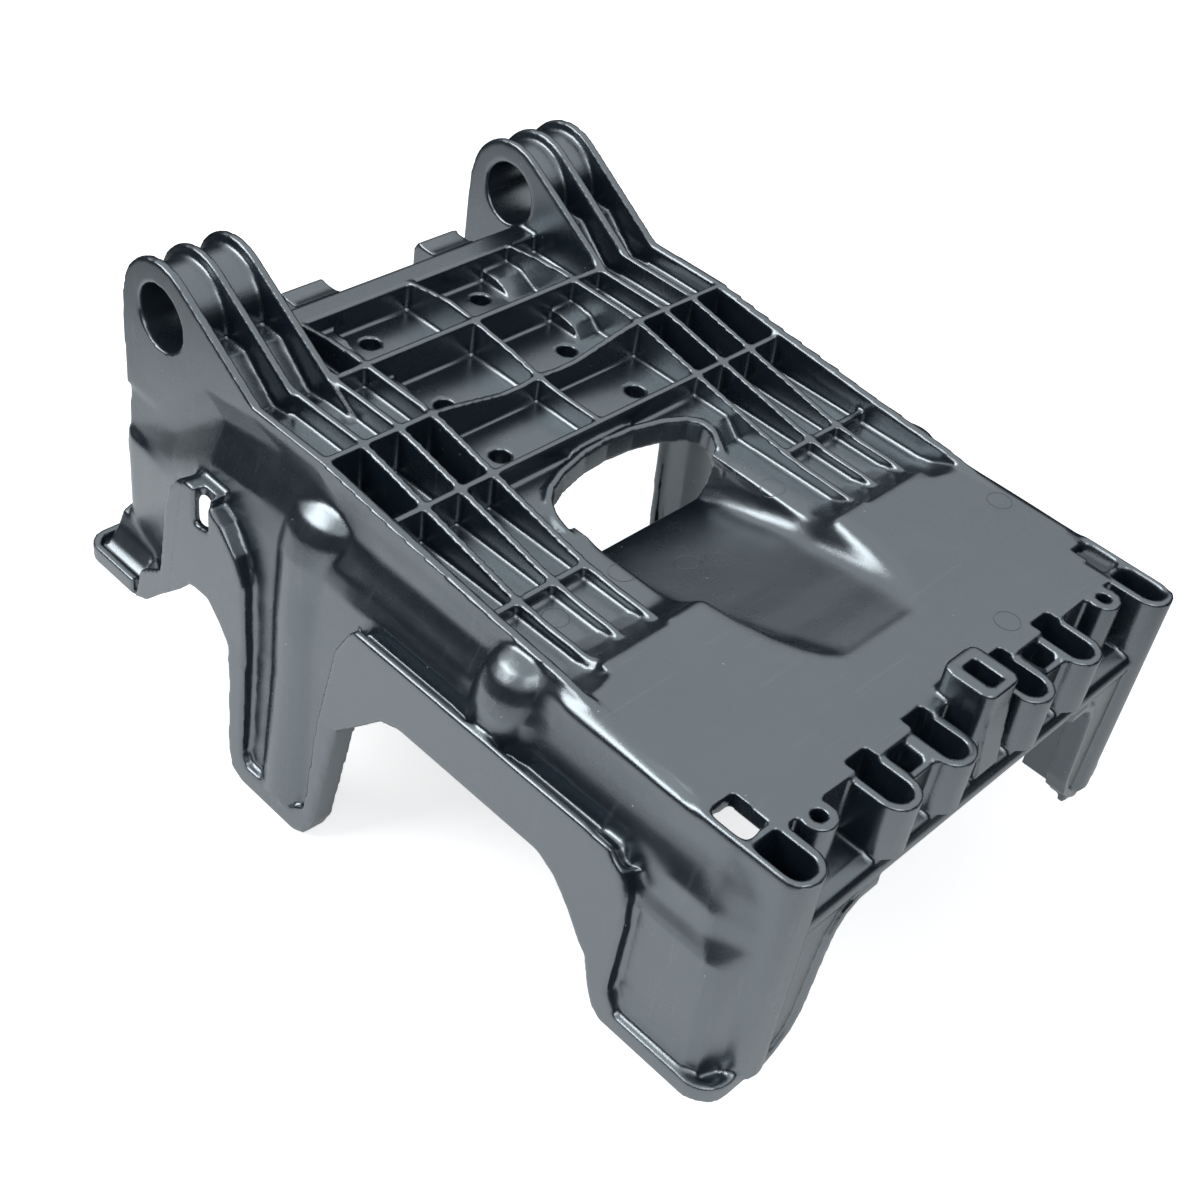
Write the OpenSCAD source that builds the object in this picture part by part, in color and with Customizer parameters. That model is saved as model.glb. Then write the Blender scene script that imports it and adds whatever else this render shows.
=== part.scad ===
// Battery tray: one moulded plastic piece with two pivot lugs, a ribbed deck and splayed legs.
// Units are mm. x runs across, y towards the lugs (the rear), z up.
// The shapes are drawn from the deck: x = 0 on the mirror plane, y = 0 on row B, z = 0 on its top.
// The finished part is moved so that the centre of the pivot bores is the origin.

/* [Deck] */
// Width over the side walls of the deck
deck_w = 184; // [180:1:188]
// Thickness of the skins and side walls
wall_t = 2.8; // [2.4:0.1:3.2]
// Thickness of the deck ribs
rib_t = 2.4; // [2:0.1:3]
// Thickness of the bay floors
floor_t = 2.4; // [2:0.1:3]
// Distance of the inner long ribs from the middle
rib_a = 47.5; // [46:0.5:49]
// Distance of the middle long ribs from the middle
rib_b = 61; // [60:0.5:62]
// Distance of the outer long ribs from the middle
rib_c = 75.5; // [74.5:0.5:77]
// Row of ribs under the lugs
row_a = 33.8; // [32:0.5:35]
// Third row of ribs, in front of row B
row_c = -32.2; // [-34:0.5:-30]
// Fourth row of ribs, behind the window
row_d = -61.2; // [-62:0.2:-60]
// Last row of ribs
row_e = -103; // [-105:0.5:-101]
// Diameter of the holes in the middle bays
drain_d = 7; // [5:0.5:8]

/* [Lugs] */
// Diameter of the pivot bores
pivot_d = 23.4; // [20:0.2:26]
// Height of the pivot axis over the deck
pivot_z = 6.1; // [4:0.1:8]
// Distance of the pivot axis behind row B
pivot_y = 49.1; // [48:0.1:50]
// Outer radius of the lug plates
lug_r = 20.3; // [19:0.1:22]
// Thickness of each lug plate
lug_t = 3.2; // [2.8:0.1:3.6]
// Outer diameter of the hub barrels between the lug plates
barrel_d = 33; // [30:1:36]

/* [Front] */
// Height of the front plate, below the deck
plate_drop = 12; // [11:0.5:13]
// Half the width of the scoop
scoop_w2 = 31.5; // [30:0.5:32.5]
// Diameter of the screw posts
post_d = 11.2; // [10:0.2:12]
// Diameter of the screw holes
screw_d = 4.8; // [3:0.2:6]
// Distance of the screw posts from the middle
post_x = 71.3; // [70:0.1:72]
// Outer radius of the front pockets
pocket_r = 7.5; // [7:0.1:8]
// Wall of the front pockets
pocket_t = 2.8; // [2.2:0.1:3.2]

/* [Legs] */
// Distance of the rim's outer face from the deck's side
rim_out = 15.5; // [14:0.5:18]
// Depth of the four feet below the deck
foot_drop = 103; // [98:1:108]
// Depth of the two middle legs below the deck
leg_drop = 141; // [132:1:148]
// Thickness of the rim round the legs
rim_t = 3; // [2.6:0.1:3.4]
// Distance from the rim's edge to the leg panels
margin_w = 7.6; // [7:0.2:8]
// Outward lean of the middle legs, in degrees
leg_lean = 3; // [1:0.5:5]

/* [Hidden] */

$fn = 48;
// An overlap that sinks one shape into the next
bite = 0.4;
side_x = deck_w / 2;
plate_z = -plate_drop;
foot_z = -foot_drop;
leg_z = -leg_drop;
// Faces of the side: the rim, the leg panels and the skirt's lower edge
rim_x = side_x + rim_out;
panel_x = rim_x - 5;
edge_x = rim_x - 7;
skirt_z = -34;
deck_rear = row_a + 9.7;
lug_rear = 70;
lug_bottom = -30;
front_wall = -226;
arch_z = -58;
// Height of the lips of the feet
lip_h = 7;

// Height of the long ribs' tops along the deck
function rib_top(y) = lookup(y, [
    [row_e - 30, -14.6], [row_e, -13.7], [row_d, -5.7], [row_c, 0], [0, 0], [12, 0], [row_a, -3]]);
// Height of the middle rib's top, which dips for a round case
function middle_top(y) = lookup(y, [
    [row_d, -5.6], [-45, -5.8], [row_c, -4.8], [-18, -2.4], [0, -0.4], [13, 0.4], [23, -1], [row_a, -2.7]]);
// Height of the side walls' tops
function wall_top(y) = lookup(y, [
    [-228, -11.6], [-150, -11.6], [-137, -9.6], [-110, -7.8], [-90, -6],
    [row_d, -3.4], [row_c, 0], [80, 0]]);
// Height of row C, which dips in the middle
function row_c_top(x) = lookup(abs(x), [[0, -4.6], [10, -5.4], [18, -5.1], [38, -1.3], [47, 0], [100, 0]]);

// Two of each, mirrored about the middle
module both() {
    children();
    mirror([1, 0, 0]) children();
}

// A profile drawn in (y, z), pushed along x
module along_x(x0, x1) {
    translate([x0, 0, 0]) rotate([90, 0, 90]) linear_extrude(x1 - x0) children();
}

// A profile drawn in (x, z), pushed along y
module along_y(y0, y1) {
    translate([0, y1, 0]) rotate([90, 0, 0]) linear_extrude(y1 - y0) children();
}

// A block between two corners
module block(a, b) {
    translate(a) cube(b - a);
}

// A solid through rings that all have the same even number of points, one half facing the other
module loft(rings) {
    n = len(rings[0]);
    m = len(rings);
    sides = [for (i = [0 : m - 2]) for (j = [0 : n - 1]) let (k = (j + 1) % n)
        each [[i * n + j, i * n + k, (i + 1) * n + k], [i * n + j, (i + 1) * n + k, (i + 1) * n + j]]];
    strips = [for (j = [0 : n / 2 - 2]) [j, j + 1, n - 2 - j, n - 1 - j]];
    first_cap = [for (q = strips) [q[3], q[2], q[1], q[0]]];
    last_cap = [for (q = strips) [for (j = q) (m - 1) * n + j]];
    polyhedron([for (r = rings) each r], concat(first_cap, sides, last_cap), convexity = 8);
}

// Twice the area of an outline, which is negative where its points run clockwise
function area2(p) = [for (i = [0 : len(p) - 1]) cross(p[i], p[(i + 1) % len(p)])] * [for (q = p) 1];

// The point b moved by d to the left of the line a-b-c, so that both edges move by d
function moved(a, b, c, d) = let (
    u = (b - a) / norm(b - a),
    v = (c - b) / norm(c - b),
    side = [-u[1], u[0]] + [-v[1], v[0]])
    b + side * 2 * d / (side * side);

// A closed outline grown by d all round
function grown(p, d) = let (n = len(p), out = area2(p) > 0 ? -d : d)
    [for (i = [0 : n - 1]) moved(p[(i + n - 1) % n], p[i], p[(i + 1) % n], out)];

// A band of thickness t to the left of an open line
function band(p, t) = let (n = len(p))
    concat(p, [for (i = [n - 1 : -1 : 0])
        moved(i > 0 ? p[i - 1] : 2 * p[0] - p[1], p[i], i < n - 1 ? p[i + 1] : 2 * p[i] - p[i - 1], t)]);

// Deck

// A rib along y at x, from y0 to y1, down to zb
module long_rib(x, t, y0, y1, zb) {
    steps = 12;
    along_x(x - t / 2, x + t / 2)
        polygon(concat([[y0, zb]],
            [for (i = [0 : steps]) let (y = y0 + (y1 - y0) * i / steps) [y, rib_top(y)]],
            [[y1, zb]]));
}

// The floors between the ribs: x0, x1, y0, y1 and the height of the top
bay_floors = [
    [0, rib_a, row_c, row_a, -13.5],
    [0, rib_a, row_d, row_c, -14],
    [rib_a, rib_b, 0, row_a, -10],
    [rib_a, side_x - 1, row_c, 0, -8.3],
    [rib_b, rib_c, row_d, row_c, -16.6],
    [rib_a, rib_b, row_d, row_c, -20],
    [rib_c, side_x - 1, row_d, row_c, -20],
    [rib_a, side_x - 1, row_e, row_d, -18.6],
];

module deck_half() {
    deep = -20 - floor_t;
    long_rib(rib_a, rib_t, row_e - 30, row_a, deep);
    long_rib(rib_b, rib_t, row_e - 28, 4, deep);
    long_rib(rib_c, rib_t, row_e - 32, 4, deep);
    for (b = bay_floors)
        block([b[0], b[2], b[4] - floor_t], [b[1], b[3], b[4]]);
    // Raised pads beside the inner ribs
    along_x(rib_a - 13, rib_a)
        polygon([[row_a, -14], [row_a, -9.4], [row_a - 9, -9.4], [row_a - 14, -11.5], [row_a - 19, -14]]);
    along_x(rib_a - 11, rib_a)
        polygon([[0, -14], [0, -9], [-3, -8.4], [-12, -9.5], [-17, -14]]);
    // Floors in front of the last row, which rise to the front plate
    rise = [[row_e, -18.3], [-123, -18.3], [-129, -17], [-134, -14.4], [-139, plate_z]];
    along_x(rib_a, rib_c)
        polygon(concat(rise, [[-139, plate_z - floor_t], [-128, -19.8], [row_e, -18.3 - floor_t]]));
    translate([0, -6, 0]) along_x(rib_c, side_x - 1)
        polygon(concat([[row_e + 7, -18.3]], rise,
            [[-139, plate_z - floor_t], [-128, -19.8], [row_e + 7, -18.3 - floor_t]]));
    // Rows B, D and E, outside the dip
    block([0, row_d - rib_t / 2, -20 - floor_t], [side_x - 1, row_d + rib_t / 2, -5.7]);
    block([rib_a, row_e - rib_t / 2, -18.6 - floor_t], [side_x - 1, row_e + rib_t / 2, -13.7]);
    block([0, -rib_t / 2, -13.5 - floor_t], [rib_b, rib_t / 2, 0]);
    block([0, row_a - rib_t / 2, -13.5 - floor_t], [rib_b, row_a + rib_t / 2, -3]);
}

module row_c_rib() {
    xs = [side_x - 1, 47, 38, 28, 18, 10, 0, -10, -18, -28, -38, -47, 1 - side_x];
    along_y(row_c - rib_t / 2, row_c + rib_t / 2)
        polygon(concat([for (x = xs) [x, row_c_top(x)]], [[1 - side_x, -22], [side_x - 1, -22]]));
}

module middle_rib() {
    ys = [row_d, -45, row_c, -18, 0, 13, 23, row_a];
    along_x(-rib_t / 2, rib_t / 2)
        polygon(concat([for (y = ys) [y, middle_top(y)]], [[row_a, -15], [row_d, -15]]));
}

// Holes in the middle bays, each with a tube under it
drain_points = [[25.5, 23.5], [28.5, -18], [31.6, -48.5]];
drain_end = -27;

module drain_tubes() {
    for (p = drain_points)
        translate([p[0], p[1], drain_end]) cylinder(d = drain_d + 2 * rib_t, h = -14.8 - drain_end);
}

module drain_holes() {
    for (p = drain_points)
        translate([p[0], p[1], drain_end - 1]) cylinder(d = drain_d, h = -10 - drain_end);
}

// Strip and wall behind row A, with a bump on each side
module rear_edge_half() {
    bump = [22, 40, 13];
    along_x(0, rib_b + 2)
        polygon([[row_a, -3], [deck_rear - 1.5, -3], [deck_rear, -4.5], [deck_rear, -26],
            [deck_rear - wall_t, -26], [deck_rear - wall_t, -5.4], [row_a, -5.4]]);
    difference() {
        along_x(bump[0], bump[1])
            polygon([[deck_rear - 1, -5], [deck_rear + bump[2] - 2, -5], [deck_rear + bump[2], -8],
                [deck_rear + bump[2], -26], [deck_rear - 1, -26]]);
        along_x(bump[0] + wall_t, bump[1] - wall_t)
            polygon([[deck_rear - 0.5, -8], [deck_rear + bump[2] - wall_t, -9.5],
                [deck_rear + bump[2] - wall_t, -27], [deck_rear - 0.5, -27]]);
    }
}

// Lugs

// Outline of a lug plate: an arc round the bore, a straight front edge and a straight rear edge
module lug_outline(front_end) {
    front_angle = 120.5;
    arc_steps = 14;
    polygon(concat(
        [[lug_rear, lug_bottom], [lug_rear, pivot_z]],
        [for (i = [1 : arc_steps]) let (a = front_angle * i / arc_steps)
            [pivot_y + lug_r * cos(a), pivot_z + lug_r * sin(a)]],
        [front_end, [front_end[0], lug_bottom + 8], [row_a, lug_bottom]]));
}

module lugs_half() {
    inner_x = rib_b - 0.6;
    middle_x = rib_c - 1;
    along_x(inner_x, inner_x + lug_t) lug_outline([-14, -8.3]);
    along_x(middle_x, middle_x + lug_t) lug_outline([0, -1]);
    along_x(side_x - lug_t, side_x) lug_outline([1, 0]);
    // Hub barrels between the plates
    translate([inner_x, pivot_y, pivot_z]) rotate([0, 90, 0]) cylinder(d = barrel_d, h = side_x - inner_x);
    // Sloping webs in front of the barrels, down to the floor of the bays
    along_x(inner_x, side_x - 1)
        polygon([[-0.5, -8.3], [8.5, -9.3], [23, 3], [38, 3], [38, 0], [24, 0], [9.5, -12], [-0.5, -12]]);
    // Web under the barrels, which closes the pockets towards the rear
    along_x(inner_x, side_x - 1)
        polygon([[lug_rear - wall_t, pivot_z - 6], [lug_rear, pivot_z - 6], [lug_rear, lug_bottom],
            [lug_rear - wall_t, lug_bottom]]);
}

module pivot_bore_cut() {
    translate([-side_x - 1, pivot_y, pivot_z]) rotate([0, 90, 0])
        cylinder(d = pivot_d, h = deck_w + 2, $fn = 96);
}

// Front plate, scoop and window

lip_y = -85;
lip_z = -36;
scoop_end = -180.5;
strip_z = -19.5;

// Scoop stations: y, half width at the top, radius of its edge, half width of the floor,
// heights of the top and of the floor
scoop_stations = [
    [lip_y, scoop_w2 + 3.5, 1, scoop_w2 - 1, strip_z, lip_z],
    [-108, scoop_w2 + 3.5, 1, scoop_w2 - 1.5, strip_z, -30.2],
    [-125, scoop_w2 + 3.3, 1.5, scoop_w2 - 2, strip_z, -26],
    [-131, scoop_w2 + 3.4, 3, scoop_w2 - 3, -16.5, -24.5],
    [-137, scoop_w2 + 3.5, 5, scoop_w2 - 4, plate_z, -23],
    [-149, scoop_w2 + 2.5, 6.5, scoop_w2 - 6, plate_z, -19.8],
    [-160, scoop_w2, 6, scoop_w2 - 8, plate_z, -17.2],
    [-169, scoop_w2 - 4, 4.5, scoop_w2 - 11, plate_z, -14.8],
    [-175, scoop_w2 - 8.5, 2.5, scoop_w2 - 13.5, plate_z, -13.4],
    [scoop_end + 0.5, scoop_w2 - 14, 1, scoop_w2 - 17, plate_z + 0.1, plate_z - 0.4]];

// Half of the scoop's inner section at a station, from the rounded top edge to the floor
function scoop_half(s) = [[s[1], s[4]], [s[1] - 0.55 * s[2], s[4] - 0.06 * s[2]],
    [s[1] - 0.95 * s[2], s[4] - min(0.45 * s[2], 0.4 * (s[4] - s[5]))],
    [s[3] + 0.6, s[5] + 0.25 * (s[4] - s[5])], [s[3] - 2, s[5]]];

function scoop_ring(s) = let (
    half = scoop_half(s),
    n = len(half),
    under = [for (p = half)
        [p[0] + wall_t * (p[1] > s[5] + 0.1 ? 1 : 0.6), p[1] - (p[1] > s[4] - 0.01 ? 0 : wall_t * 0.9)]])
    concat([for (p = half) [-p[0], s[0], p[1]]],
        [for (i = [n - 1 : -1 : 0]) [half[i][0], s[0], half[i][1]]],
        [for (p = under) [p[0], s[0], p[1]]],
        [for (i = [n - 1 : -1 : 0]) [-under[i][0], s[0], under[i][1]]]);

module scoop() {
    loft([for (s = scoop_stations) scoop_ring(s)]);
    // Strips beside the scoop, which rise to the front plate
    both() along_x(scoop_w2 + 1, rib_a)
        polygon([[-84, strip_z], [-125, strip_z], [-131, -16.5], [-137, plate_z], [-140, plate_z],
            [-140, plate_z - floor_t], [-131, -19.5], [-125, strip_z - floor_t], [-84, strip_z - floor_t]]);
}

module front_plate() {
    last = len(scoop_stations) - 1;
    edge = [for (i = [4 : last]) [scoop_stations[i][1] + 1, scoop_stations[i][0] + (i == last ? 0.5 : 0)]];
    translate([0, 0, plate_z - wall_t]) linear_extrude(wall_t)
        difference() {
            polygon([[-side_x + 0.5, -148], [24 - side_x, -138], [-34, -138], [34, -138], [side_x - 24, -138],
                [side_x - 0.5, -148], [side_x - 0.5, -200], [corner_x - 7, -200],
                [corner_x - 7, apron_y - floor_t], [7 - corner_x, apron_y - floor_t],
                [7 - corner_x, -200], [-side_x + 0.5, -200]]);
            polygon(concat([[-scoop_w2 - 4.5, -120]],
                [for (e = edge) [-e[0], e[1]]],
                [for (i = [len(edge) - 1 : -1 : 0]) edge[i]],
                [[scoop_w2 + 4.5, -120]]));
        }
}

// Line of the bead's top round the rear and the right side of the window
bead_line = [[0, -64.4, -10.6], [12, -65.4, -10.6], [24, -68.3, -10.8], [32.5, -72, -11.4],
    [36.6, -75.6, -12.4], [38, -80, -14.5], [36.8, -85, -18], [34, -91, -21]];
bead_path = concat(
    [for (i = [len(bead_line) - 1 : -1 : 1]) [-bead_line[i][0], bead_line[i][1], bead_line[i][2]]],
    bead_line);

// Section of the bead across its path, at point i
function bead_ring(i) = let (
    m = len(bead_path),
    a = bead_path[max(i - 1, 0)],
    b = bead_path[min(i + 1, m - 1)],
    c = bead_path[i],
    d = [b[0] - a[0], b[1] - a[1]] / norm([b[0] - a[0], b[1] - a[1]]))
    [for (p = [[-1.6, -9.5], [-1.6, -1.1], [-0.8, -0.1], [0.8, -0.1], [1.6, -1.1], [1.6, -9.5]])
        [c[0] - d[1] * p[0], c[1] + d[0] * p[0], c[2] + p[1]]];

module window_bead() {
    loft([for (i = [0 : len(bead_path) - 1]) bead_ring(i)]);
    // Floor of the groove between the bead and row D
    translate([0, 0, -13.7 - floor_t]) linear_extrude(floor_t)
        polygon([[-rib_a, row_d], [-rib_a, -78], [-38, -78], [-36.6, -75.6], [-32.5, -72], [-24, -68.3],
            [-12, -65.4], [12, -65.4], [24, -68.3], [32.5, -72], [36.6, -75.6], [38, -78], [rib_a, -78],
            [rib_a, row_d]]);
    both() along_x(37.4, rib_a)
        polygon([[-76, -13.7], [-79, -14.5], [-84, strip_z], [-90, strip_z], [-90, strip_z - floor_t],
            [-84, strip_z - floor_t], [-76, -16.1]]);
}

// Front features

// A stadium standing on y, with its round front at y1
module stadium(r, y0, y1) {
    translate([-r, y1 + r]) square([2 * r, y0 - y1 - r]);
    translate([0, y1 + r]) circle(r = r);
}

pocket_xs = [20, 46];
corner_x = side_x - 4;
pocket_front = -228.5;
// Wall between the corner pocket and the slot behind it
divider_y = -209.2;
divider_t = 2.4;

module pocket_column(x, top, bottom, y0) {
    translate([x, 0, bottom]) linear_extrude(top - bottom) stadium(pocket_r, y0, pocket_front);
}

module pocket_hole(x, y0, depth) {
    translate([x, 0, plate_z - depth]) linear_extrude(depth + 5)
        stadium(pocket_r - pocket_t, y0, pocket_front + pocket_t);
}

ledge_z = -33.6;
apron_y = -208;

module front_half() {
    for (x = pocket_xs)
        pocket_column(x, plate_z - 1.5, ledge_z - 1, -205);
    // Corner columns, which run down into the feet, and a rim round the slot behind each
    pocket_column(corner_x, plate_z - 0.5, foot_z + 4, divider_y + divider_t);
    translate([corner_x, 0, plate_z - 6]) linear_extrude(5.5) stadium(pocket_r, -192, -212);
    // Screw posts
    translate([post_x, -213.9, ledge_z - 1]) cylinder(d = post_d, h = plate_z - ledge_z + 1);
    // Apron behind the columns, and the ledge at its foot with the rail in front
    along_x(0, corner_x - 4)
        polygon([[apron_y, plate_z - bite], [apron_y, ledge_z - 2.4], [-218, ledge_z - 2.4], [-217.5, -41],
            [-219, -43.4], [-222, -44.4], [-225, -43.6], [-226.6, -41], [-226.6, -38.5], [-225, -35.5],
            [-221, ledge_z], [apron_y - floor_t, ledge_z], [apron_y - floor_t, plate_z - bite]]);
    // Webs between the two pockets of each pair
    block([22, -219.5, ledge_z - 1], [44, -207, -24]);
    block([27, -219.5, ledge_z - 1], [29.5, -207, plate_z - 2]);
    block([38, -219.5, ledge_z - 1], [40.5, -207, plate_z - 2]);
    block([27, -211, ledge_z - 1], [40.5, -207, plate_z - 0.6]);
    block([27, -221, ledge_z - 1], [40.5, -218.5, plate_z - 3]);
}

module front_cuts_half() {
    for (x = pocket_xs)
        pocket_hole(x, -206, 18);
    // Long corner pocket: a deep pocket in front and a slot through the plate behind it
    translate([corner_x, 0, plate_z - 36]) linear_extrude(44)
        difference() {
            stadium(pocket_r - pocket_t, -194, pocket_front + pocket_t);
            translate([-10, divider_y]) square([20, divider_t]);
        }
    translate([post_x, -213.9, ledge_z + 2]) cylinder(d = screw_d, h = 40);
}

block_r = 3.5;
// Centres of the block's round corners, and the angle at which each starts
block_corners = [[4.5, -208, 0], [-4.5, -208, 90], [-4.5, -219, 180], [4.5, -219, 270]];

module middle_block() {
    top = -2;
    difference() {
        translate([0, 0, ledge_z - 1]) linear_extrude(top - ledge_z + 1)
            polygon([for (k = block_corners, a = [0 : 30 : 90])
                [k[0] + block_r * cos(k[2] + a), k[1] + block_r * sin(k[2] + a)]]);
        translate([0, -213.8, ledge_z + 3]) linear_extrude(40) square([6.4, 10.4], center = true);
    }
    // Sloping foot in front of the block
    along_x(-6, 6) polygon([[-220, -10], [-222.4, -10], [-225.5, ledge_z], [-220, ledge_z]]);
}

// Skirts and legs

// Section of the skirt at y: from the deck's edge over the crease to the convex edge, and back
function skirt_section(y, top_x, crease, edge) = let (
    across = edge - crease,
    outer = [[top_x - 0.7, wall_top(y) - 1], crease, crease + [across[0] * 0.36, across[1] * 0.3],
        crease + [across[0] * 0.78, across[1] * 0.6], edge])
    concat([for (p = outer) [p[0], y, p[1]]],
        [for (i = [len(outer) - 1 : -1 : 0]) [outer[i][0] - wall_t, y, outer[i][1] - (i == 0 ? 0 : 0.3)]]);

module skirt() {
    low_x = edge_x + 0.5;
    low_z = skirt_z - 2;
    loft([
        skirt_section(lug_rear, side_x - 1.5, [side_x - 0.5, -46], [side_x + 1.2, -58]),
        skirt_section(40, side_x - 0.5, [side_x + 0.5, -32], [side_x + 5.4, -50]),
        skirt_section(14, side_x, [side_x + 1, -12], [edge_x, -36]),
        skirt_section(-16, side_x, [side_x + 1, -7], [edge_x, skirt_z]),
        skirt_section(-30, side_x, [side_x + 1, -8], [edge_x, skirt_z]),
        skirt_section(-48, side_x, [side_x + 1, -17.5], [edge_x, skirt_z]),
        skirt_section(-112, side_x, [side_x + 1, -18.5], [edge_x, skirt_z]),
        skirt_section(-134, side_x, [side_x + 2.5, -15.5], [edge_x, skirt_z]),
        skirt_section(-143, side_x, [side_x + 3.6, -14.2], [edge_x, skirt_z]),
        skirt_section(-182, side_x, [side_x + 3.8, -14], [low_x, low_z]),
        skirt_section(-206, side_x, [side_x + 3.4, -14], [low_x, low_z]),
        skirt_section(-211.4, side_x - 0.3, [side_x + 3, -14], [low_x - 2.2, low_z]),
        skirt_section(-220, side_x - 1, [side_x + 2, -14], [corner_x + pocket_r + 0.1, low_z])]);
}

// Top of the slotted tab at the rear of the side
tab_z = -31;

// The side's outline below the skirt, in (y, z)
side_outline = [[15, tab_z], [20.5, tab_z - 2.5], [25, tab_z - 8.5], [27.5, tab_z - 17],
    [32, foot_z + 23], [44, foot_z + 15], [48, foot_z], [41, foot_z + 3], [33, foot_z + 11],
    [21, foot_z + 22], [14.7, foot_z + 29], [5, foot_z + 29.5], [-0.6, foot_z + 24], [-6, -86],
    [-7.5, -97], [-9.6, leg_z + 9], [-12, leg_z + 3], [-18, leg_z], [-46, leg_z], [-52, leg_z + 3],
    [-55, leg_z + 10], [-62, -82.5], [-82.7, -61.1], [-91, arch_z], [-150.5, arch_z], [-158, -62],
    [-165, foot_z + 33], [-171, foot_z + 24], [-174, foot_z + 21], [-177, foot_z + 10],
    [-180, foot_z + 3], [-184, foot_z], [-218, foot_z], [-218, skirt_z], [-4, skirt_z], [0, tab_z]];

// Front edge of the middle leg, from the bottom upwards
leg_front_edge = [[-30, leg_z], [-46, leg_z], [-52, leg_z + 3], [-55, leg_z + 10], [-62, -82.5]];

// Panel of the middle leg, drawn from the side
leg_panel_outline = [[12, -31], [6, -33], [-3, -38], [-10, -46], [-7 - margin_w, -56],
    [-9.4 - margin_w, leg_z + 13], [-20, leg_z + margin_w + 1], [-44, leg_z + margin_w + 1],
    [-50, leg_z + margin_w + 6], [-51, leg_z + 22], [-53, -84], [-60, -48], [-66, -37], [-73, -30]];

// Panel of the front leg, drawn from the side
foot_panel_outline = [[-176, -30], [-176.5, -36], [-181, -39.5], [-184.5, -47], [-185.5, -60],
    [-184.5, foot_z + 15], [-189, foot_z + lip_h], [-224, foot_z + lip_h], [-224, -30]];

// How far the middle leg's panel stands out, drawn from the front
module panel_profile() {
    polygon([[side_x - 14, -30], [edge_x - 2, -30], [edge_x, skirt_z], [edge_x + 1, -46], [panel_x, -60],
        [panel_x + 0.6, leg_z + 20], [panel_x + 1.8, leg_z + 8], [side_x - 14, leg_z + 8]]);
}

module leg_panel(inward) {
    intersection() {
        along_x(side_x - 14 - inward, rim_x) polygon(grown(leg_panel_outline, inward / 12));
        translate([-inward, 0, -inward / 12]) along_y(-75, 32) panel_profile();
    }
}

// Plan of the front leg's panel at height z: side face at x, bevelled from y towards the corner column
function foot_ring(z, x, y, rear) = let (column_side = corner_x + pocket_r)
    [for (p = [[x, rear], [x, y], [x - 2.4, y - 4.4], [column_side + 0.3, -220], [column_side - 3, -218],
        [x - 5, y - 2.6], [x - wall_t, y], [x - wall_t, rear]]) [p[0], p[1], z]];

module foot_panel() {
    loft([
        foot_ring(foot_z + lip_h - 1, panel_x + 2.8, -213, -183),
        foot_ring(foot_z + lip_h + 1, panel_x + 2.4, -213, -183),
        foot_ring(foot_z + 17, panel_x + 1, -213, -182),
        foot_ring(-52, panel_x + 0.8, -211, -180),
        foot_ring(-44, edge_x + 0.8, -208, -175),
        foot_ring(skirt_z - 1.5, edge_x + 0.8, -207, -174)]);
}

// Half-round column down the middle leg, with a broad shoulder on top: z, x, y and the radii along x and y
column_x = edge_x - 8;
column_rings = [
    [leg_z + 8, column_x + 4.2, -35.8, 12, 13],
    [-100, column_x + 2.6, -35.2, 12, 13.5],
    [-60, column_x + 1.5, -34.2, 12, 13.6],
    [-44, column_x, -34, 12.3, 14],
    [-32, column_x - 1, -34.5, 12.6, 15.5],
    [-23, column_x - 2.5, -35.5, 12.4, 16],
    [-17, column_x - 4, -36.5, 11, 14],
    [-13.5, column_x - 5.5, -37, 8, 10],
    [-12, column_x - 6.5, -37.5, 4, 6]];

// Short half-round boss on the skirt in front of the long arch
boss_rings = [
    [skirt_z - 1.2, side_x + 3, -122, 9.6, 12],
    [-27, side_x + 2.9, -122, 9.4, 11.8],
    [-21, side_x + 2.3, -122.3, 9, 11.3],
    [-16.5, side_x + 1.6, -122.6, 7.8, 10],
    [-13, side_x + 0.8, -122.8, 5.6, 7.8],
    [-11, side_x, -123, 2.4, 4.5]];

module column(rings, inward) {
    steps = 24;
    loft([for (q = rings) [for (i = [0 : steps - 1]) let (a = -360 * i / steps)
        [q[1] - inward * 0.3 + (q[3] - min(inward, q[3] - 1)) * cos(a),
         q[2] + (q[4] - min(inward, q[4] - 2)) * sin(a), q[0] - inward * 0.6]]]);
}

// The lip of a foot, drawn from above: a wall along its edge and a ledge over it, back to the inner points
module foot_lip(edge, inner, ledge_top) {
    translate([0, 0, foot_z]) linear_extrude(lip_h) polygon(band(edge, rim_t));
    translate([0, 0, foot_z + ledge_top - rim_t]) linear_extrude(rim_t) polygon(concat(edge, inner));
}

front_foot_r = 10;
front_foot_edge = concat([[corner_x - 8, front_wall]],
    [for (a = [-90 : 15 : 0])
        [rim_x + front_foot_r * (cos(a) - 1), front_wall + front_foot_r * (1 + sin(a))]],
    [[rim_x, -184]]);

rear_foot_r = 7;
rear_foot_end = 78;
rear_foot_edge = concat([[rim_x, 49]],
    [for (a = [0 : 18 : 90])
        [rim_x + rear_foot_r * (cos(a) - 1), rear_foot_end + rear_foot_r * (sin(a) - 1)]],
    [[side_x - 8, rear_foot_end]]);

// Wall of the rear foot, drawn from above, which turns in at the rear
module rear_wall_outline() {
    polygon([[side_x + 6.5, 26], [side_x + 2.5, 66], [side_x + 0.5, lug_rear], [side_x - 10, lug_rear],
        [side_x - 10, lug_rear - wall_t], [side_x - 1.5, lug_rear - wall_t], [side_x - 0.4, 65.5],
        [side_x + 3.6, 26]]);
}

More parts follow.
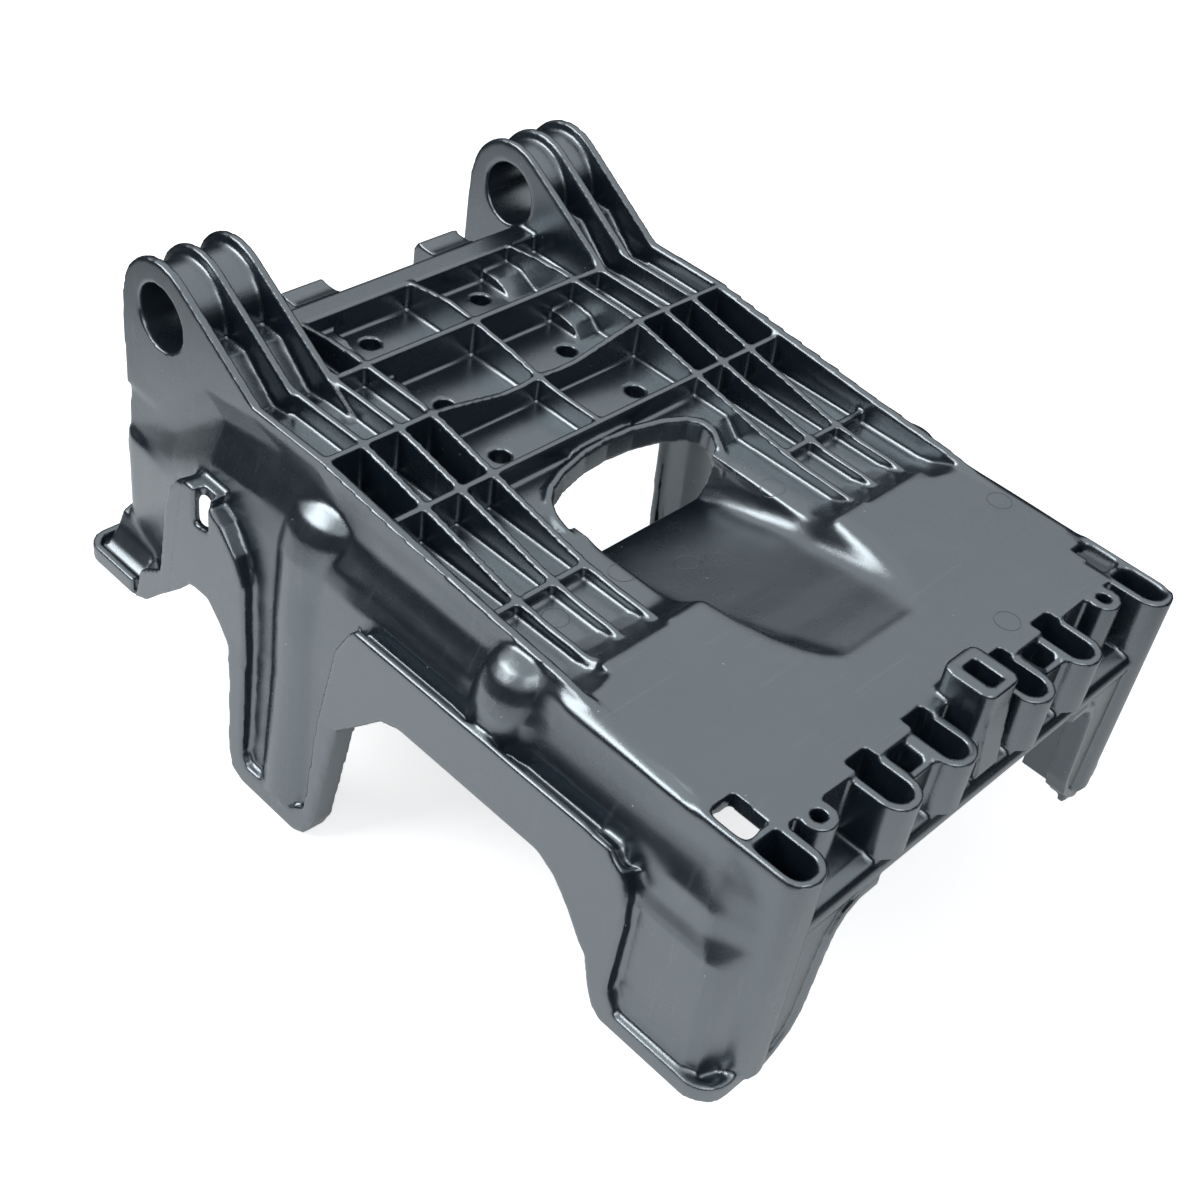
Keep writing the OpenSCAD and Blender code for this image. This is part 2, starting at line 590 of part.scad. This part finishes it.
// Front of the front leg, drawn from the front
leg_inner_edge = [[corner_x - 38, -44.4], [corner_x - 30, -44.8], [corner_x - 25, -47.5],
    [corner_x - 22, -53], [corner_x - 20.5, -62], [corner_x - 18, foot_z + 18],
    [corner_x - 15, foot_z + 10], [corner_x - 10, foot_z + 5], [corner_x - 2, foot_z]];

// The rim plate with its step walls, and the leg panels set back from it
module side_walls() {
    along_x(rim_x - rim_t, rim_x)
        difference() {
            polygon(side_outline);
            polygon(leg_panel_outline);
            polygon(foot_panel_outline);
        }
    along_x(edge_x - wall_t, rim_x)
        intersection() {
            polygon(side_outline);
            difference() {
                union() {
                    polygon(grown(leg_panel_outline, rim_t));
                    polygon(grown(foot_panel_outline, rim_t));
                    // Ledge between the skirt and the plate over the long arch
                    translate([-182, skirt_z - rim_t]) square([120, rim_t]);
                }
                polygon(leg_panel_outline);
                polygon(foot_panel_outline);
            }
        }
    // Flange that turns in along the front of the middle leg
    along_x(rim_x - 9.5, rim_x - bite) polygon(band(leg_front_edge, -rim_t));
    leg_panel(0);
    intersection() {
        union() {
            column(column_rings, 0);
            column(boss_rings, 0);
        }
        block([side_x - 1, -140, leg_z - 5], [rim_x + 10, -5, 0]);
    }
}

module side_solid() {
    difference() {
        union() {
            skirt();
            side_walls();
        }
        leg_panel(wall_t);
        column(column_rings, wall_t);
        intersection() {
            column(boss_rings, wall_t);
            block([side_x + 0.7, -140, skirt_z - 5], [rim_x, -100, 0]);
        }
    }
}

knee_z = -84;
// The middle leg turns about a line a little over the knee
knee_axis_z = knee_z + 3;

module side_shell() {
    // Above the knee the side stands upright; below it the middle leg leans out
    difference() {
        side_solid();
        translate([side_x - 20, -75, leg_z - 20]) cube([60, 80, knee_z - leg_z + 20]);
    }
    foot_panel();
    translate([rim_x - rim_t, 0, knee_axis_z])
        rotate([0, -leg_lean, 0])
        translate([rim_t - rim_x, 0, -knee_axis_z])
        intersection() {
            side_solid();
            translate([side_x - 20, -75, leg_z - 20]) cube([60, 80, knee_z - leg_z + 20 + bite]);
        }
    foot_lip(front_foot_edge, [[panel_x - 6, -184], [panel_x - 6, -219], [corner_x - 8, -219]],
        lip_h - 1.5);
    foot_lip(rear_foot_edge, [[side_x - 8, lug_rear - wall_t], [panel_x - 7, 49]], lip_h - 3);
    // The wall flares into the rear foot's ledge
    along_y(50, 73)
        polygon([[side_x - 2, foot_z + 19], [side_x + 2.5, foot_z + 17], [side_x + 4.5, foot_z + 12],
            [side_x + 8.5, foot_z + 6.5], [rim_x - rim_t, foot_z + 3.5], [rim_x - rim_t, foot_z + 1.5],
            [side_x - 2, foot_z + 1.5]]);
    intersection() {
        translate([0, 0, foot_z + 1]) linear_extrude(-49 - foot_z) rear_wall_outline();
        along_x(side_x - 12, rim_x)
            polygon([[20, -45], [20, foot_z + 27], [29, foot_z + 21], [40, foot_z + 11], [46, foot_z],
                [75, foot_z], [75, -45]]);
    }
    // Front of the front leg, with a bead down its inner edge
    along_y(front_wall, front_wall + wall_t)
        polygon(concat(leg_inner_edge, [[corner_x + 3, foot_z], [corner_x + 3, -37], [corner_x - 38, -37]]));
    along_y(front_wall - 1, -219.5) polygon(band(leg_inner_edge, rim_t));
    // Bridge from the slotted tab to the skirt
    along_x(side_x + 3, rim_x - 1)
        polygon([[3, tab_z], [15, tab_z], [20, tab_z - 2.3], [20, tab_z - 4.3], [3, tab_z - 4]]);
}

// Slot in the tab of the rim plate
module tab_slot() {
    along_x(rim_x - rim_t - 1, rim_x + 1)
        polygon([[4, tab_z + 3], [11, tab_z + 3], [11, tab_z - 14.5], [4, tab_z - 13.5]]);
}

// The ribbed deck with its lugs and side walls
module deck() {
    both() deck_half();
    both() drain_tubes();
    row_c_rib();
    middle_rib();
    both() rear_edge_half();
    both() lugs_half();
    both() along_x(side_x - wall_t, side_x)
        polygon([[-150, wall_top(-150)], [-137, wall_top(-137)], [-110, wall_top(-110)],
            [-90, wall_top(-90)], [row_d, wall_top(row_d)], [row_c, 0], [lug_rear, 0],
            [lug_rear, -24], [-150, -24]]);
}

// The front plate with the scoop, the window's bead, the pockets and the posts
module front() {
    front_plate();
    scoop();
    window_bead();
    both() front_half();
    middle_block();
}

module battery_tray() {
    color("dimgray")
    translate([0, -pivot_y, -pivot_z])
    difference() {
        union() {
            deck();
            front();
            both() side_shell();
        }
        both() tab_slot();
        both() drain_holes();
        both() front_cuts_half();
        pivot_bore_cut();
    }
}

battery_tray();
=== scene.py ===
import bmesh
import bpy
import numpy as np
from mathutils import Matrix, Vector


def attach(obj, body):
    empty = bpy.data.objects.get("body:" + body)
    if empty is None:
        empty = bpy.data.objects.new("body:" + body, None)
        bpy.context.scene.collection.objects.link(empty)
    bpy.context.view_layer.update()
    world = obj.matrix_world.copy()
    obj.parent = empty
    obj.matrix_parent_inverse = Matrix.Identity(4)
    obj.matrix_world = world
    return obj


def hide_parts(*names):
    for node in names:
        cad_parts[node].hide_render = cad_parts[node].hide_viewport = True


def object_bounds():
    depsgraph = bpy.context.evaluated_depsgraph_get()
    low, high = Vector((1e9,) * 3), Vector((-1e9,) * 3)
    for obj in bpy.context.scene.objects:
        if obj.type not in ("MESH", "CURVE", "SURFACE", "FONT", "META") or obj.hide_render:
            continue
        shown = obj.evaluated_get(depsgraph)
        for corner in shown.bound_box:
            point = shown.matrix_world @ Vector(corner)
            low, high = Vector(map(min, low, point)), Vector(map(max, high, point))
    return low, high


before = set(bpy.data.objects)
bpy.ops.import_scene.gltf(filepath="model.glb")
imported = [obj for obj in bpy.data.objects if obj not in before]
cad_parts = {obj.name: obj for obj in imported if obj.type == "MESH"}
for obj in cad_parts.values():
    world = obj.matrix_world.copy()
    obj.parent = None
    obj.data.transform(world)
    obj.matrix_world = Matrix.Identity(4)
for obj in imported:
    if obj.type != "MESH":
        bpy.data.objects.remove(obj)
cad_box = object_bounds()

# Camera: place and axes worked out from the straight edges and circles of the photographed tray
CAM_AT = (-0.3626, -0.4059, 0.3155)
CAM_RIGHT = (0.6958, -0.7061, 0.1326)
CAM_UP = (0.3996, 0.5335, 0.7457)
CAM_BACK = (-0.5969, -0.4657, 0.6531)
LENS = 52.48
SENSOR = 36.0

# Size of the grid that the moulded shell is rebuilt on, and the most triangles it may keep
GRID = 0.0008
MOST_TRIANGLES = 190000

# Share that a point moves towards its neighbours in each round of smoothing, the rounds that take the grid's
# steps off the whole shell, and the number of steps in which smoothing fades in at the side of a box
EASE = 0.5
EASE_ROUNDS = 1
FADE_STEPS = 5

# Colours as written in linear light
BLACK = (0.004, 0.008, 0.014, 1.0)
DUST = (0.42, 0.44, 0.46, 1.0)
# Lighter grey for the wear in hairline scratches, and for the painted highlight along the rounded edges
WEAR_AND_HIGHLIGHT_GREY = (0.085, 0.09, 0.098, 1.0)
GLOSS_TINT = (0.84, 0.94, 1.0, 1.0)
WHITE = (1.0, 1.0, 1.0, 1.0)

# Gloss of the plastic, which smudges spread over a range of roughness
PLASTIC_IOR = 2.5
ROUGHNESS = (0.23, 0.31)

# Noises over the surface: scale, detail and roughness. Grain of the mould, waves from shrinkage, and smudges
GRAIN = (2100.0, 2.0, 0.6)
WAVES = (42.0, 2.0, 0.5)
SMUDGES = (26.0, 5.0, 0.65)
SMUDGE_SPAN = (0.3, 0.7)

# Strength and height of what stands up from the surface or is pressed into it
GRAIN_BUMP = (0.42, 0.00011)
WAVE_BUMP = (0.25, 0.0006)
MARK_BUMP = (0.6, 0.00012)

# Scratches: turn and scale of each set, the stretch along y and z, the lean and twist, the noise that is cut,
# where in it a hair begins and is full, and how much lighter a hair makes the plastic
SCRATCH_SETS = ((0.4, 16.0), (1.9, 21.0))
SCRATCH_STRETCH = (26.0, 3.0)
SCRATCH_LEAN = 0.3
SCRATCH_TWIST = 1.7
SCRATCH_NOISE = (1.0, 1.0, 0.4)
SCRATCH_SPAN = (0.715, 0.74)
SCRATCH_SHARE = 0.16

# Dust specks: cells, the size of a core, which few cells have one, and what it does to colour and roughness
SPECK_CELLS = 330.0
SPECK_CORE = (0.10, 0.05)
SPECK_FEW = (0.955, 0.965)
SPECK_SHARE = 0.8
SPECK_ROUGHNESS = 0.4

# Round edges, how far a surface has turned where an edge gets a painted highlight, and how much lighter the
# painted edge highlight makes it
EDGE_RADIUS = 0.0006
EDGE_SAMPLES = 6
EDGE_TURN = (0.97, 0.80)
EDGE_HIGHLIGHT_SHARE = 0.45

# Marks of the mould: centres of the ejector pins' rings, their radius and line, and the parting line on each
# side, which leans with its height
EJECTOR_MARKS = (
    (-0.0060, -0.1596, -0.0354), (-0.0362, -0.1577, -0.0256), (0.0362, -0.1577, -0.0256),
    (-0.0680, -0.1610, -0.0244), (0.0850, -0.2135, -0.0181), (0.0362, -0.2500, -0.0181))
EJECTOR_RADIUS = 0.0042
MARK_WIDTH = 0.0002
PARTING_X = 0.0912
PARTING_Y = -0.0389
PARTING_LEAN = 0.18

# Boxes in which the moulding flows: lowest and highest corner of the right half, the width over which the
# smoothing fades in, and its rounds. In turn: scoop and its shoulders; ends of the ribs; long skirt; side
# boss; skirt at the front foot; front corner; skirt at the rear; leg column; notch over the foot; rim; lugs
FLOWING = (
    ((-0.001, -0.236, -0.048), (0.046, -0.140, -0.0165), 0.006, 60),
    ((0.046, -0.194, -0.030), (0.090, -0.176, -0.016), 0.004, 20),
    ((0.0915, -0.157, -0.0385), (0.1036, -0.104, -0.012), 0.0015, 40),
    ((0.0915, -0.186, -0.0405), (0.1080, -0.156, -0.012), 0.0015, 14),
    ((0.0915, -0.237, -0.0385), (0.1036, -0.184, -0.012), 0.0015, 40),
    ((0.0880, -0.275, -0.104), (0.1020, -0.236, -0.012), 0.0015, 40),
    ((0.0915, -0.106, -0.100), (0.1036, -0.062, -0.012), 0.0015, 20),
    ((0.0860, -0.036, -0.100), (0.1036, 0.021, -0.020), 0.0015, 40),
    ((0.0990, -0.240, -0.056), (0.1085, -0.216, -0.036), 0.002, 30),
    ((0.1036, -0.280, -0.150), (0.1150, 0.040, -0.033), 0.001, 8),
    ((0.0500, -0.060, -0.0085), (0.0980, 0.035, 0.030), 0.003, 10),
)

# Block that closes the narrow gap between the outer bay's floor and the plate: its lowest and highest corner
CLOSING = ((0.0700, -0.1922, -0.0207), (0.0768, -0.1866, -0.0184))

# Share of a move at four places in a row: none, all, all, none
IN_AND_OUT = (0.0, 1.0, 1.0, 0.0)

# How far the skirt over the long arch is hollowed, by height, its share along y, and where it fades across x
HOLLOW_Z = (-0.0416, -0.0376, -0.0336, -0.0296, -0.0241, -0.0201)
HOLLOW_DEPTH = (0.0003, 0.0017, 0.0027, 0.0023, 0.0010, 0.0)
HOLLOW_Y = (-0.262, -0.250, -0.187, -0.183, -0.159, -0.155, -0.110, -0.104)
HOLLOW_SHARE = (0.0, 1.0, 1.0, 0.0, 0.0, 0.4, 0.4, 0.0)
SKIRT_X = (0.0915, 0.0930, 0.1018, 0.1026)

# Groove between the skirt's edge and the rim over the long arch: its depth, and where it fades in and out
GROOVE_DEPTH = 0.0045
GROOVE_X = (0.1006, 0.1014, 0.1038, 0.1046)
GROOVE_Y = (-0.2410, -0.2318, -0.1160, -0.1120)
GROOVE_Z = (-0.0455, -0.0445, -0.0396, -0.0388)

# Floor: half its side, its distance under the tray, its grey and roughness, and how much white it adds for
# the camera and for reflections
FLOOR_HALF = 6.0
FLOOR_GAP = 0.0002
FLOOR_GREY = (0.88, 0.88, 0.88, 1.0)
FLOOR_ROUGHNESS = 0.9
FLOOR_LIFT = 0.62
FLOOR_SHEEN = 0.2

# Middle of the tray on the floor; the reach of the painted shadow under the tray, in which the floor adds no
# white to reflections; where the lit floor starts to end and has ended
FLOOR_MIDDLE = (0.0, -0.12, 0.0)
SHADE_REACH = (0.08, 0.14)
FLOOR_END = (0.26, 0.60)

# A reflection seen in a reflection is dim, as between faces of black plastic: the glossy depths of the first
# and the second, what the second keeps of the studio, and what it loses of the floor
GLOSSY_DEPTHS = (1.0, 2.0)
SECOND_KEEPS = 0.2
SECOND_LOSES = 0.8

# Studio in reflections: heights of a direction between which it turns from dark to white, its strengths at
# these heights, and the colour of its light
HORIZON = (0.27, 0.57)
CEILING = (0.01, 1.1)
STUDIO_WHITE = (0.97, 0.99, 1.0, 1.0)

# Soft light of the studio on all faces
SOFT_WHITE = (0.95, 0.98, 1.0, 1.0)
SOFT_STRENGTH = 0.5

# Lamps: name, place, width, height, watts and colour; all look at one point
LAMPS = (
    ("key", (-1.0, 0.65, 1.0), 1.2, 0.8, 19.0, (1.0, 1.0, 1.0)),
    ("front", (-0.6, -1.2, 1.0), 1.0, 0.8, 6.0, (0.96, 0.98, 1.0)),
)
LIT_POINT = (0.0, -0.1, -0.05)


def add_object(name, data):
    obj = bpy.data.objects.new(name, data)
    bpy.context.scene.collection.objects.link(obj)
    return obj


def make_camera():
    data = bpy.data.cameras.new("camera")
    data.lens = LENS
    data.sensor_width = SENSOR
    camera = add_object("camera", data)
    rows = [list(row) for row in zip(CAM_RIGHT, CAM_UP, CAM_BACK)]
    turn = Matrix(rows).to_4x4().to_quaternion().normalized()
    camera.matrix_world = Matrix.Translation(CAM_AT) @ turn.to_matrix().to_4x4()
    bpy.context.scene.camera = camera


def make_lamps():
    for name, at, width, height, watts, colour in LAMPS:
        data = bpy.data.lights.new(name, "AREA")
        data.shape = "RECTANGLE"
        data.size = width
        data.size_y = height
        data.energy = watts
        data.color = colour
        lamp = add_object(name, data)
        lamp.location = at
        lamp.rotation_euler = (Vector(at) - Vector(LIT_POINT)).to_track_quat("Z", "Y").to_euler()


class Nodes:
    """Makes and links the nodes of one tree. Each method gives back an output, apart from new and link."""

    def __init__(self, tree):
        self.tree = tree
        self.link = tree.links.new

    def new(self, kind, **sockets):
        node = self.tree.nodes.new(kind)
        for name, value in sockets.items():
            node.inputs[name.replace("_", " ")].default_value = value
        return node

    def ramp(self, source, span, result=(0.0, 1.0), smooth=False):
        """Runs through the result while the source runs through its span."""
        node = self.new("ShaderNodeMapRange")
        if smooth:
            node.interpolation_type = "SMOOTHSTEP"
        for name, value in zip(("From Min", "From Max", "To Min", "To Max"), (*span, *result)):
            node.inputs[name].default_value = value
        self.link(source, node.inputs["Value"])
        return node.outputs["Result"]

    def maths(self, operation, *values):
        """The operation on numbers, which are set, and outputs, which are linked."""
        node = self.new("ShaderNodeMath")
        node.operation = operation
        for socket, value in zip(node.inputs, values):
            if isinstance(value, float):
                socket.default_value = value
            else:
                self.link(value, socket)
        return node.outputs[0]

    def vectors(self, operation, first, second, result):
        """The operation on an output and a set vector, or on two outputs."""
        node = self.new("ShaderNodeVectorMath")
        node.operation = operation
        self.link(first, node.inputs[0])
        if isinstance(second, tuple):
            node.inputs[1].default_value = second
        else:
            self.link(second, node.inputs[1])
        return node.outputs[result]

    def noise(self, place, scale, detail, rough):
        node = self.new("ShaderNodeTexNoise", Scale=scale, Detail=detail, Roughness=rough)
        self.link(place, node.inputs["Vector"])
        return node.outputs["Fac"]

    def band(self, source, middle, width):
        """1 where the source is the middle value, falling to 0 at the width away from it."""
        gap = self.maths("ABSOLUTE", self.maths("SUBTRACT", source, middle))
        return self.ramp(gap, (width, 0.0))

    def most_of(self, first, second):
        return second if first is None else self.maths("MAXIMUM", first, second)

    def tinted(self, first, second, factor, share):
        """The first colour, or output, turned to the second by the share where the factor is 1."""
        node = self.new("ShaderNodeMix")
        node.data_type = "RGBA"
        if isinstance(first, tuple):
            node.inputs["A"].default_value = first
        else:
            self.link(first, node.inputs["A"])
        node.inputs["B"].default_value = second
        self.link(self.ramp(factor, (0.0, 1.0), (0.0, share)), node.inputs["Factor"])
        return node.outputs["Result"]

    def bump(self, height, under, strength, distance, pressed=False):
        node = self.new("ShaderNodeBump", Strength=strength, Distance=distance)
        node.invert = pressed
        self.link(height, node.inputs["Height"])
        self.link(under, node.inputs["Normal"])
        return node.outputs["Normal"]

    def mixed(self, factor, first, second):
        """The first shader where the factor is 0, and the second where it is 1."""
        node = self.new("ShaderNodeMixShader")
        for socket, value in zip(node.inputs, (factor, first, second)):
            self.link(value, socket)
        return node.outputs[0]


def scratches(nodes, place):
    """Hairline scratches: thin cells of stretched and turned noises."""
    hairs = None
    for turn, scale in SCRATCH_SETS:
        mapping = nodes.new("ShaderNodeMapping")
        mapping.inputs["Rotation"].default_value = (SCRATCH_LEAN, turn, SCRATCH_TWIST * turn)
        mapping.inputs["Scale"].default_value = (scale, *(scale * stretch for stretch in SCRATCH_STRETCH))
        nodes.link(place, mapping.inputs["Vector"])
        lines = nodes.noise(mapping.outputs["Vector"], *SCRATCH_NOISE)
        hairs = nodes.most_of(hairs, nodes.ramp(lines, SCRATCH_SPAN))
    return hairs


def specks(nodes, place):
    """Dust specks: the cores of a few cells."""
    cells = nodes.new("ShaderNodeTexVoronoi", Scale=SPECK_CELLS)
    nodes.link(place, cells.inputs["Vector"])
    few = nodes.new("ShaderNodeSeparateColor")
    nodes.link(cells.outputs["Color"], few.inputs["Color"])
    core = nodes.ramp(cells.outputs["Distance"], SPECK_CORE)
    return nodes.maths("MULTIPLY", core, nodes.ramp(few.outputs["Red"], SPECK_FEW))


def mould_marks(nodes, place):
    """Rings left by the ejector pins, and the parting line down each side under the lugs."""
    marks = None
    for centre in EJECTOR_MARKS:
        away = nodes.vectors("DISTANCE", place, centre, "Value")
        marks = nodes.most_of(marks, nodes.band(away, EJECTOR_RADIUS, MARK_WIDTH))
    parts = nodes.new("ShaderNodeSeparateXYZ")
    nodes.link(place, parts.inputs[0])
    lean = nodes.maths("MULTIPLY_ADD", parts.outputs["Z"], PARTING_LEAN, parts.outputs["Y"])
    outside = nodes.maths("GREATER_THAN", nodes.maths("ABSOLUTE", parts.outputs["X"]), PARTING_X)
    line = nodes.maths("MULTIPLY", nodes.band(lean, PARTING_Y, MARK_WIDTH), outside)
    return nodes.most_of(marks, line)


def plastic():
    """Black satin plastic: fine grain, shallow sink waves, dust specks, hairline scratches, and rounded edges
    lightened as a painted highlight.
    """
    mat = bpy.data.materials.new("black_plastic")
    mat.use_nodes = True
    mat.node_tree.nodes.clear()
    nodes = Nodes(mat.node_tree)
    out = nodes.new("ShaderNodeOutputMaterial")
    skin = nodes.new("ShaderNodeBsdfPrincipled", IOR=PLASTIC_IOR, Specular_Tint=GLOSS_TINT)
    place = nodes.new("ShaderNodeTexCoord").outputs["Object"]
    dust = specks(nodes, place)

    # Round edges, and a mask that grows where the rounding turns the surface, by which the edges' colour is
    # lightened as a painted highlight
    bevel = nodes.new("ShaderNodeBevel", Radius=EDGE_RADIUS)
    bevel.samples = EDGE_SAMPLES
    flat = nodes.new("ShaderNodeNewGeometry").outputs["Normal"]
    turned = nodes.vectors("DOT_PRODUCT", bevel.outputs["Normal"], flat, "Value")
    edges = nodes.ramp(turned, EDGE_TURN)

    # Rounded edges lightened in colour: a painted highlight standing in for the light they catch
    colour = nodes.tinted(BLACK, WEAR_AND_HIGHLIGHT_GREY, edges, EDGE_HIGHLIGHT_SHARE)
    colour = nodes.tinted(colour, DUST, dust, SPECK_SHARE)
    colour = nodes.tinted(colour, WEAR_AND_HIGHLIGHT_GREY, scratches(nodes, place), SCRATCH_SHARE)
    nodes.link(colour, skin.inputs["Base Color"])

    smudged = nodes.ramp(nodes.noise(place, *SMUDGES), SMUDGE_SPAN, ROUGHNESS)
    dull = nodes.ramp(dust, (0.0, 1.0), (0.0, SPECK_ROUGHNESS))
    nodes.link(nodes.maths("ADD", smudged, dull), skin.inputs["Roughness"])

    normal = nodes.bump(mould_marks(nodes, place), bevel.outputs["Normal"], *MARK_BUMP, pressed=True)
    normal = nodes.bump(nodes.noise(place, *WAVES), normal, *WAVE_BUMP)
    normal = nodes.bump(nodes.noise(place, *GRAIN), normal, *GRAIN_BUMP)
    nodes.link(normal, skin.inputs["Normal"])
    nodes.link(skin.outputs["BSDF"], out.inputs["Surface"])
    return mat


def apply_modifiers(obj):
    """Gives the object the mesh that its modifiers make, and takes them off."""
    depsgraph = bpy.context.evaluated_depsgraph_get()
    mesh = bpy.data.meshes.new_from_object(obj.evaluated_get(depsgraph))
    obj.modifiers.clear()
    obj.data = mesh


def read_points(obj):
    """The object's points as rows of x, y and z."""
    points = np.empty(len(obj.data.vertices) * 3, dtype=np.float32)
    obj.data.vertices.foreach_get("co", points)
    return points.reshape(-1, 3)


def close_gaps(mesh):
    """Adds the closing block on both sides; the grid then makes one shell of it all."""
    body = bmesh.new()
    body.from_mesh(mesh)
    low, high = CLOSING
    middle = [(a + b) / 2 for a, b in zip(low, high)]
    size = [b - a for a, b in zip(low, high)]
    for side in (1, -1):
        place = Matrix.Translation((side * middle[0], middle[1], middle[2]))
        bmesh.ops.create_cube(body, size=1.0, matrix=place @ Matrix.Diagonal((*size, 1.0)))
    body.to_mesh(mesh)
    body.free()


def hollow_skirt(shell):
    """Draws the lower half of the skirt in to a cove, and sinks the groove between its edge and the rim."""
    points = read_points(shell)
    x = np.abs(points[:, 0])
    share = np.interp(points[:, 2], HOLLOW_Z, HOLLOW_DEPTH) * np.interp(points[:, 1], HOLLOW_Y, HOLLOW_SHARE)
    share = share * np.interp(x, SKIRT_X, IN_AND_OUT)
    points[:, 0] -= np.sign(points[:, 0]) * share
    inside = GROOVE_DEPTH * np.ones(len(points))
    for value, limits in ((x, GROOVE_X), (points[:, 1], GROOVE_Y), (points[:, 2], GROOVE_Z)):
        inside = inside * np.interp(value, limits, IN_AND_OUT)
    points[:, 2] -= inside
    shell.data.vertices.foreach_set("co", points.ravel())
    shell.data.update()


def add_smoothing(shell, name, rounds):
    ease = shell.modifiers.new(name, "SMOOTH")
    ease.factor = EASE
    ease.iterations = rounds
    return ease


def flow(shell):
    """Smooths the points inside the boxes, so that broad faces run into each other as moulded ones do."""
    points = read_points(shell)
    points[:, 0] = np.abs(points[:, 0])
    for index, (low, high, fade, rounds) in enumerate(FLOWING):
        inside = np.minimum(points - np.array(low), np.array(high) - points).min(axis=1)
        weight = np.clip(inside / fade, 0.0, 1.0)
        group = shell.vertex_groups.new(name="flow_%d" % index)
        for step in range(1, FADE_STEPS + 1):
            picked = np.nonzero(np.ceil(weight * FADE_STEPS) == step)[0]
            group.add(picked.tolist(), step / FADE_STEPS, "REPLACE")
        add_smoothing(shell, group.name, rounds).vertex_group = group.name


def soft_shell(node):
    """The moulded shell with its edges rounded, rebuilt from the CAD solid on a fine grid."""
    shell = add_object("moulded_tray", node.data.copy())
    close_gaps(shell.data)
    grid = shell.modifiers.new("grid", "REMESH")
    grid.mode = "VOXEL"
    grid.voxel_size = GRID
    grid.use_smooth_shade = True
    apply_modifiers(shell)
    hollow_skirt(shell)
    flow(shell)
    add_smoothing(shell, "ease", EASE_ROUNDS)
    apply_modifiers(shell)
    shell.vertex_groups.clear()
    faces = sum(len(p.vertices) - 2 for p in shell.data.polygons)
    if faces > MOST_TRIANGLES:
        thin = shell.modifiers.new("thin", "DECIMATE")
        thin.ratio = MOST_TRIANGLES / faces
        apply_modifiers(shell)
    for polygon in shell.data.polygons:
        polygon.use_smooth = True
    even = shell.modifiers.new("even", "WEIGHTED_NORMAL")
    even.mode = "FACE_AREA"
    apply_modifiers(shell)
    return shell


def backdrop_material():
    """A pale floor, white to the camera, that keeps the tray's shadow and ends in the dark in reflections;
    there the white it adds is also taken away under the tray as a painted shadow.
    """
    mat = bpy.data.materials.new("floor")
    mat.use_nodes = True
    nodes = Nodes(mat.node_tree)
    skin = mat.node_tree.nodes["Principled BSDF"]
    skin.inputs["Base Color"].default_value = FLOOR_GREY
    skin.inputs["Roughness"].default_value = FLOOR_ROUGHNESS
    skin.inputs["Emission Color"].default_value = WHITE
    path = nodes.new("ShaderNodeLightPath")
    glossy = path.outputs["Is Glossy Ray"]
    place = nodes.new("ShaderNodeTexCoord").outputs["Object"]
    away = nodes.vectors("DISTANCE", place, FLOOR_MIDDLE, "Value")
    # White the floor adds to reflections, faded out under the tray as a painted shadow
    sheen = nodes.maths("MULTIPLY", glossy, nodes.ramp(away, SHADE_REACH, (0.0, FLOOR_SHEEN), smooth=True))
    lift = nodes.maths("MULTIPLY_ADD", path.outputs["Is Camera Ray"], FLOOR_LIFT, sheen)
    nodes.link(lift, skin.inputs["Emission Strength"])

    ended = nodes.ramp(away, FLOOR_END, smooth=True)
    second = nodes.ramp(path.outputs["Glossy Depth"], GLOSSY_DEPTHS, (0.0, SECOND_LOSES), smooth=True)
    gone = nodes.maths("MULTIPLY", glossy, nodes.maths("MAXIMUM", ended, second))
    dark = nodes.new("ShaderNodeEmission", Strength=0.0)
    seen = nodes.mixed(gone, skin.outputs["BSDF"], dark.outputs[0])
    nodes.link(seen, mat.node_tree.nodes["Material Output"].inputs["Surface"])
    return mat


def make_floor(z):
    mesh = bpy.data.meshes.new("floor")
    corners = [(x * FLOOR_HALF, y * FLOOR_HALF, z) for x, y in ((-1, -1), (1, -1), (1, 1), (-1, 1))]
    mesh.from_pydata(corners, [], [(0, 1, 2, 3)])
    mesh.materials.append(backdrop_material())
    floor = add_object("floor", mesh)


def make_world():
    """White to the camera, soft light on the tray; in reflections a dark horizon under a white ceiling."""
    world = bpy.data.worlds.new("studio")
    bpy.context.scene.world = world
    world.use_nodes = True
    world.node_tree.nodes.clear()
    nodes = Nodes(world.node_tree)
    out = nodes.new("ShaderNodeOutputWorld")
    soft = nodes.new("ShaderNodeBackground", Color=SOFT_WHITE, Strength=SOFT_STRENGTH)
    white = nodes.new("ShaderNodeBackground", Color=WHITE, Strength=1.0)
    studio = nodes.new("ShaderNodeBackground", Color=STUDIO_WHITE)
    parts = nodes.new("ShaderNodeSeparateXYZ")
    nodes.link(nodes.new("ShaderNodeTexCoord").outputs["Generated"], parts.inputs[0])
    path = nodes.new("ShaderNodeLightPath")
    ceiling = nodes.ramp(parts.outputs["Z"], HORIZON, CEILING, smooth=True)
    kept = nodes.ramp(path.outputs["Glossy Depth"], GLOSSY_DEPTHS, (1.0, SECOND_KEEPS))
    nodes.link(nodes.maths("MULTIPLY", ceiling, kept), studio.inputs["Strength"])
    lit = nodes.mixed(path.outputs["Is Glossy Ray"], soft.outputs[0], studio.outputs[0])
    seen = nodes.mixed(path.outputs["Is Camera Ray"], lit, white.outputs[0])
    nodes.link(seen, out.inputs["Surface"])


make_camera()
make_world()
make_floor(cad_box[0][2] - FLOOR_GAP)
make_lamps()

tray = soft_shell(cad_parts["battery_tray"])
black_plastic = plastic()
for shape in (tray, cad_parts["battery_tray"]):
    shape.data.materials.clear()
    shape.data.materials.append(black_plastic)
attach(tray, "root")
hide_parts("battery_tray")

bpy.context.scene.view_settings.view_transform = "Standard"
